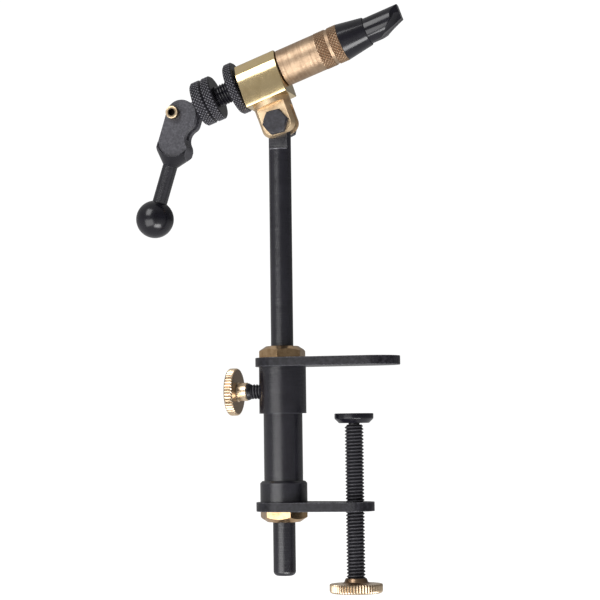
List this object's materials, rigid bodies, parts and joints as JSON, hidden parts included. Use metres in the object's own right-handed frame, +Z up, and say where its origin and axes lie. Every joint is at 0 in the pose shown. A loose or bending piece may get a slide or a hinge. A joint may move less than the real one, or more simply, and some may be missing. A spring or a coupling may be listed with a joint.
{
  "type": "fly tying vise",
  "caption": "Bench clamp vise for tying fishing flies: a sliding post carries a tilting, rotating head whose collet jaws are drawn shut by a cam lever.",
  "frame": {"origin": "on the post's axis, level with the underside of the upper arm that lies on the bench", "axes": "+X from the post towards the jaws and the clamp screw, +Z up along the post, +Y to the left of someone who looks along +X"},
  "size_m": [0.1195, 0.0234, 0.2475],
  "materials": {
    "black_steel": "satin black on turned steel",
    "black_gloss": "glossy black on steel",
    "black_paint": "slightly rough black paint on steel plate",
    "black_oxide": "black oxide on steel, worn grey on the edges",
    "bare_steel": "bare turned steel",
    "brass": "machined brass",
    "polished_brass": "polished brass",
    "satin_brass": "turned and brushed brass"
  },
  "bodies": {
    "clamp": {"clamp_column": "black_steel", "upper_arm": "black_paint", "lower_arm": "black_paint", "upper_column_nut": "brass", "lower_column_nut": "brass"},
    "pad": {"clamp_pad": "black_gloss"},
    "clamp_screw": {"clamp_screw": "black_oxide", "clamp_knob": "brass"},
    "lock_shoe": {"lock_shoe": "brass"},
    "lock_screw": {"lock_screw": "black_oxide", "lock_knob": "brass"},
    "post": {"stem": "black_steel"},
    "head": {"head_block": "polished_brass", "tilt_clevis": "satin_brass", "pivot_bolt": "black_oxide", "pivot_nut": "black_oxide"},
    "barrel": {"collet_sleeve": "black_gloss", "barrel_grip": "satin_brass", "return_spring": "bare_steel"},
    "tension_ring": {"tension_ring": "black_oxide"},
    "jam_ring": {"jam_ring": "black_oxide"},
    "adjusting_ring": {"adjusting_ring": "black_oxide"},
    "draw_bar": {"jaw_collet": "black_gloss", "draw_rod": "bare_steel"},
    "lever": {"cam_lever": "black_steel", "cam_pin": "brass", "lever_rod": "black_steel", "lever_ball": "black_gloss"}
  },
  "joints": [
    {"name": "pad_slide", "type": "slide", "parent": "clamp", "child": "pad", "axis": [0, 0, 1], "range_m": [-0.03, 0.0196]},
    {"name": "screw_turn", "type": "hinge", "parent": "pad", "child": "clamp_screw", "pos_m": [0.031, 0, -0.06], "axis": [0, 0, 1], "range_deg": [-7800, 5150]},
    {"name": "shoe_slide", "type": "slide", "parent": "clamp", "child": "lock_shoe", "axis": [1, 0, 0], "range_m": [-0.003, 0.00025]},
    {"name": "lock_turn", "type": "hinge", "parent": "lock_shoe", "child": "lock_screw", "pos_m": [-0.015, 0, -0.0104], "axis": [1, 0, 0], "range_deg": [-880, 85]},
    {"name": "post_slide", "type": "slide", "parent": "clamp", "child": "post", "axis": [0, 0, 1], "range_m": [-0.08, 0.06]},
    {"name": "head_tilt", "type": "hinge", "parent": "post", "child": "head", "pos_m": [0, 0, 0.104], "axis": [0, -1, 0], "range_deg": [-45, 30]},
    {"name": "barrel_turn", "type": "hinge", "parent": "head", "child": "barrel", "pos_m": [-0.00749, 0, 0.12458], "axis": [0.9397, 0, 0.342], "continuous": true},
    {"name": "tension_turn", "type": "hinge", "parent": "barrel", "child": "tension_ring", "pos_m": [-0.01872, 0, 0.12049], "axis": [0.9397, 0, 0.342], "continuous": true},
    {"name": "jam_turn", "type": "hinge", "parent": "barrel", "child": "jam_ring", "pos_m": [-0.02953, 0, 0.11656], "axis": [0.9397, 0, 0.342], "continuous": true},
    {"name": "adjusting_turn", "type": "hinge", "parent": "barrel", "child": "adjusting_ring", "pos_m": [-0.03404, 0, 0.11492], "axis": [0.9397, 0, 0.342], "continuous": true},
    {"name": "jaw_draw", "type": "slide", "parent": "barrel", "child": "draw_bar", "axis": [-0.9397, 0, -0.342], "range_m": [-0.0025, 0.0002], "deforming": ["return_spring"]},
    {"name": "lever_turn", "type": "hinge", "parent": "draw_bar", "child": "lever", "pos_m": [-0.04621, 0, 0.11049], "axis": [0, -1, 0], "range_deg": [-56, 6]}
  ],
  "couplings": [
    {"joint": "screw_turn", "follows": "pad_slide", "rad_per_m": 4453},
    {"joint": "lock_turn", "follows": "shoe_slide", "rad_per_m": 4947.4},
    {"joint": "lever_turn", "follows": "jaw_draw", "rad_per_m": 377.36}
  ]
}
